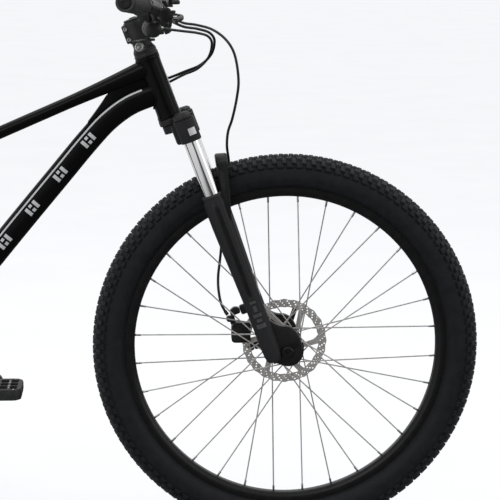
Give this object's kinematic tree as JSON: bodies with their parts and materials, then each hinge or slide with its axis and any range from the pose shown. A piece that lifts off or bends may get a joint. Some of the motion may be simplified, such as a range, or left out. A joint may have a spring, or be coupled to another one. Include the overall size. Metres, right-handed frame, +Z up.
{
  "type": "mountain bike",
  "caption": "Hardtail mountain bicycle with wide knobbly tyres, a telescopic suspension fork, hydraulic disc brakes, a flat riser bar and a single-ring chain drive.",
  "frame": {"origin": "on the ground, midway between the two axles, in the bicycle's middle plane", "axes": "+X forward, +Y to the rider's left, +Z up"},
  "size_m": [1.866, 0.7808, 1.0323],
  "materials": {
    "frame_paint": "deep gloss black paint",
    "fork_paint": "gloss black paint on cast magnesium",
    "satin_alloy": "satin black anodised",
    "bare_alloy": "polished bare metal",
    "stanchion_chrome": "mirror chrome plating",
    "tire_rubber": "matt moulded rubber",
    "grip_rubber": "soft textured rubber",
    "rim_black": "satin black",
    "spoke_steel": "drawn stainless steel spokes on a black hub",
    "rotor_steel": "ground stainless steel",
    "cog_steel": "nickel plated",
    "chain_steel": "oiled steel",
    "black_plastic": "fine moulded texture",
    "hose_jacket": "smooth nylon jacket",
    "saddle_cover": "black synthetic leather",
    "rail_steel": "bright drawn steel"
  },
  "bodies": {
    "frame": {"head_tube": "frame_paint", "top_tube": "frame_paint", "down_tube": "frame_paint", "seat_tube": "frame_paint", "bb_shell": "frame_paint", "chainstay_right": "frame_paint", "chainstay_left": "frame_paint", "seatstay_right": "frame_paint", "seatstay_left": "frame_paint", "lower_headset_cup": "satin_alloy", "upper_headset_cup": "bare_alloy", "rear_caliper": "satin_alloy", "seat_collar": "satin_alloy", "derailleur_body": "satin_alloy", "chain": "chain_steel", "shift_housing": "hose_jacket", "rear_brake_hose": "hose_jacket", "rear_axle": "satin_alloy"},
    "steering": {"fork_crown": "fork_paint", "stanchion_right": "stanchion_chrome", "stanchion_left": "stanchion_chrome", "stem": "satin_alloy", "stem_faceplate": "satin_alloy", "stem_cap": "satin_alloy", "headset_spacer": "bare_alloy", "handlebar": "satin_alloy", "grip_right": "grip_rubber", "grip_left": "grip_rubber", "brake_master_right": "satin_alloy", "brake_master_left": "satin_alloy", "shifter": "black_plastic", "front_brake_hose": "hose_jacket"},
    "lowers": {"fork_lowers": "fork_paint", "front_caliper": "satin_alloy", "front_axle": "satin_alloy"},
    "front_wheel": {"front_tire": "tire_rubber", "front_rim": "rim_black", "front_spokes": "spoke_steel", "front_rotor": "rotor_steel"},
    "rear_wheel": {"rear_tire": "tire_rubber", "rear_rim": "rim_black", "rear_spokes": "spoke_steel", "rear_rotor": "rotor_steel"},
    "cogs": {"cassette": "cog_steel"},
    "crankset": {"crank_right": "satin_alloy", "crank_left": "satin_alloy"},
    "pedal_r": {"pedal_right": "black_plastic"},
    "pedal_l": {"pedal_left": "black_plastic"},
    "seat": {"seatpost": "satin_alloy", "saddle_rails": "rail_steel", "saddle": "saddle_cover"},
    "collar_lever": {"seat_collar_lever": "satin_alloy"},
    "qr_lever": {"front_qr_lever": "satin_alloy"},
    "lockout": {"fork_lockout_knob": "black_plastic"},
    "lever_right": {"brake_lever_right": "satin_alloy"},
    "lever_left": {"brake_lever_left": "satin_alloy"},
    "shift_lever": {"shifter_lever": "black_plastic"},
    "mech_cage": {"derailleur_cage": "satin_alloy"},
    "jockey_upper": {"upper_jockey_wheel": "black_plastic"},
    "jockey_lower": {"lower_jockey_wheel": "black_plastic"}
  },
  "joints": [
    {"name": "steering_turn", "type": "hinge", "parent": "frame", "child": "steering", "pos_m": [0.36624, 0, 0.77166], "axis": [-0.3502, 0, 0.9367], "range_deg": [-70, 70], "deforming": ["rear_brake_hose", "shift_housing"]},
    {"name": "fork_slide", "type": "slide", "parent": "steering", "child": "lowers", "axis": [-0.3502, 0, 0.9367], "range_m": [0, 0.08], "stiffness_N_per_m": 8000, "springref_m": -0.02, "deforming": ["front_brake_hose"]},
    {"name": "front_wheel_spin", "type": "hinge", "parent": "lowers", "child": "front_wheel", "pos_m": [0.573, 0, 0.36], "axis": [0, 1, 0], "continuous": true},
    {"name": "rear_wheel_spin", "type": "hinge", "parent": "frame", "child": "rear_wheel", "pos_m": [-0.573, 0, 0.36], "axis": [0, 1, 0], "continuous": true},
    {"name": "crank_spin", "type": "hinge", "parent": "frame", "child": "crankset", "pos_m": [-0.138, 0, 0.312], "axis": [0, 1, 0], "continuous": true},
    {"name": "cassette_spin", "type": "hinge", "parent": "frame", "child": "cogs", "pos_m": [-0.573, 0, 0.36], "axis": [0, 1, 0], "continuous": true},
    {"name": "pedal_right_spin", "type": "hinge", "parent": "crankset", "child": "pedal_r", "pos_m": [0.037, -0.141, 0.312], "axis": [0, 1, 0], "continuous": true},
    {"name": "pedal_left_spin", "type": "hinge", "parent": "crankset", "child": "pedal_l", "pos_m": [-0.313, 0.141, 0.312], "axis": [0, 1, 0], "continuous": true},
    {"name": "seatpost_slide", "type": "slide", "parent": "frame", "child": "seat", "axis": [-0.284, 0, 0.9588], "range_m": [-0.1, 0]},
    {"name": "collar_lever_turn", "type": "hinge", "parent": "frame", "child": "collar_lever", "pos_m": [-0.26826, 0.0273, 0.6567], "axis": [-0.284, 0, 0.9588], "range_deg": [0, 150]},
    {"name": "qr_lever_turn", "type": "hinge", "parent": "lowers", "child": "qr_lever", "pos_m": [0.573, 0.0793, 0.36], "axis": [-0.924, 0, 0.3824], "range_deg": [0, 170]},
    {"name": "lockout_turn", "type": "hinge", "parent": "steering", "child": "lockout", "pos_m": [0.38101, -0.065, 0.7964], "axis": [-0.3502, 0, 0.9367], "range_deg": [-90, 0]},
    {"name": "brake_lever_right_pull", "type": "hinge", "parent": "steering", "child": "lever_right", "pos_m": [0.36542, -0.242, 0.98557], "axis": [0, 0, 1], "range_deg": [-18, 0], "stiffness_Nm_per_rad": 0.6, "springref_deg": 20.05},
    {"name": "brake_lever_left_pull", "type": "hinge", "parent": "steering", "child": "lever_left", "pos_m": [0.36542, 0.242, 0.98557], "axis": [0, 0, 1], "range_deg": [0, 18], "stiffness_Nm_per_rad": 0.6, "springref_deg": -20.05},
    {"name": "shift_lever_push", "type": "hinge", "parent": "steering", "child": "shift_lever", "pos_m": [0.32587, -0.198, 0.94261], "axis": [0, 0, 1], "range_deg": [0, 20], "stiffness_Nm_per_rad": 0.2, "springref_deg": -17.19},
    {"name": "mech_cage_swing", "type": "hinge", "parent": "frame", "child": "mech_cage", "pos_m": [-0.565, -0.051, 0.262], "axis": [0, 1, 0], "range_deg": [-20, 15], "stiffness_Nm_per_rad": 0.8, "deforming": ["chain"]},
    {"name": "upper_jockey_spin", "type": "hinge", "parent": "mech_cage", "child": "jockey_upper", "pos_m": [-0.565, -0.051, 0.262], "axis": [0, 1, 0], "continuous": true},
    {"name": "lower_jockey_spin", "type": "hinge", "parent": "mech_cage", "child": "jockey_lower", "pos_m": [-0.543, -0.051, 0.208], "axis": [0, 1, 0], "continuous": true}
  ],
  "couplings": [
    {"joint": "cassette_spin", "follows": "crank_spin", "ratio": 1.6667},
    {"joint": "upper_jockey_spin", "follows": "crank_spin", "ratio": -2.7273},
    {"joint": "lower_jockey_spin", "follows": "crank_spin", "ratio": 2.7273}
  ]
}
